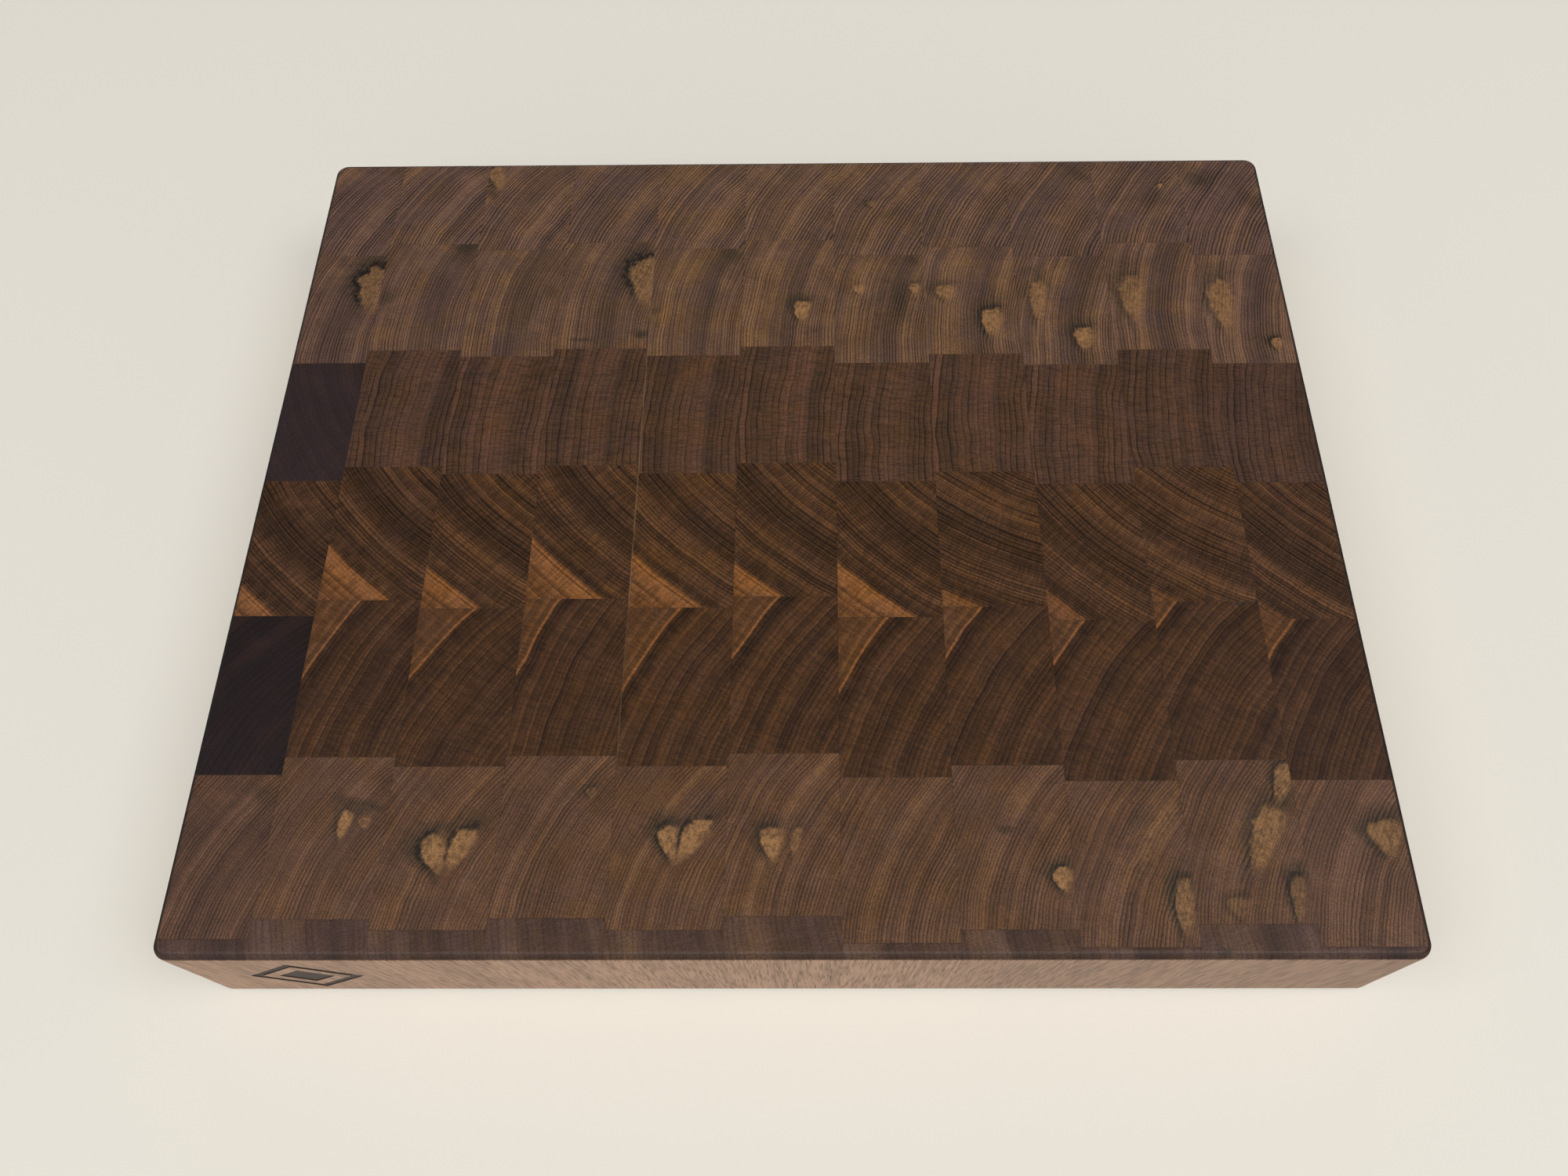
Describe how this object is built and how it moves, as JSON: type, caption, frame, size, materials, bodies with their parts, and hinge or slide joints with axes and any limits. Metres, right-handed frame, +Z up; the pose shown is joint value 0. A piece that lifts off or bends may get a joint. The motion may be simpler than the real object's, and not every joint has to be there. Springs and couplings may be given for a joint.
{
  "type": "cutting board",
  "caption": "Thick rectangular end-grain cutting board: a block of glued walnut pieces with rounded corners and edges, flat top and underside.",
  "frame": {"origin": "centre of the underside", "axes": "+X to the right along the row of slices, +Y to the rear edge, +Z up out of the work surface"},
  "size_m": [0.478, 0.408, 0.0635],
  "materials": {
    "walnut_light": "oiled, satin",
    "walnut_brown": "oiled, satin",
    "walnut_sapwood_edge": "oiled, satin",
    "walnut_dark": "oiled, satin",
    "walnut_front_strip": "oiled, satin"
  },
  "bodies": {
    "root": {"slice_01_block_2": "walnut_light", "slice_01_block_3": "walnut_dark", "slice_01_block_4": "walnut_sapwood_edge", "slice_01_block_5": "walnut_dark", "slice_01_block_6": "walnut_light", "slice_02_block_2": "walnut_light", "slice_02_block_3": "walnut_brown", "slice_02_block_4": "walnut_sapwood_edge", "slice_02_block_5": "walnut_sapwood_edge", "slice_02_block_6": "walnut_light", "slice_03_block_2": "walnut_light", "slice_03_block_3": "walnut_brown", "slice_03_block_4": "walnut_sapwood_edge", "slice_03_block_5": "walnut_sapwood_edge", "slice_03_block_6": "walnut_light", "slice_04_block_2": "walnut_light", "slice_04_block_3": "walnut_brown", "slice_04_block_4": "walnut_sapwood_edge", "slice_04_block_5": "walnut_sapwood_edge", "slice_04_block_6": "walnut_light", "slice_05_block_2": "walnut_light", "slice_05_block_3": "walnut_brown", "slice_05_block_4": "walnut_sapwood_edge", "slice_05_block_5": "walnut_sapwood_edge", "slice_05_block_6": "walnut_light", "slice_06_block_2": "walnut_light", "slice_06_block_3": "walnut_brown", "slice_06_block_4": "walnut_sapwood_edge", "slice_06_block_5": "walnut_sapwood_edge", "slice_06_block_6": "walnut_light", "slice_07_block_2": "walnut_light", "slice_07_block_3": "walnut_brown", "slice_07_block_4": "walnut_sapwood_edge", "slice_07_block_5": "walnut_sapwood_edge", "slice_07_block_6": "walnut_light", "slice_08_block_2": "walnut_light", "slice_08_block_3": "walnut_brown", "slice_08_block_4": "walnut_sapwood_edge", "slice_08_block_5": "walnut_sapwood_edge", "slice_08_block_6": "walnut_light", "slice_09_block_2": "walnut_light", "slice_09_block_3": "walnut_brown", "slice_09_block_4": "walnut_sapwood_edge", "slice_09_block_5": "walnut_sapwood_edge", "slice_09_block_6": "walnut_light", "slice_10_block_2": "walnut_light", "slice_10_block_3": "walnut_brown", "slice_10_block_4": "walnut_sapwood_edge", "slice_10_block_5": "walnut_sapwood_edge", "slice_10_block_6": "walnut_light", "slice_11_block_2": "walnut_light", "slice_11_block_3": "walnut_brown", "slice_11_block_4": "walnut_sapwood_edge", "slice_11_block_5": "walnut_sapwood_edge", "slice_11_block_6": "walnut_light", "rear_blocks_1": "walnut_light", "rear_blocks_2": "walnut_light", "rear_blocks_3": "walnut_light", "rear_blocks_4": "walnut_light", "front_blocks": "walnut_front_strip"}
  },
  "joints": []
}
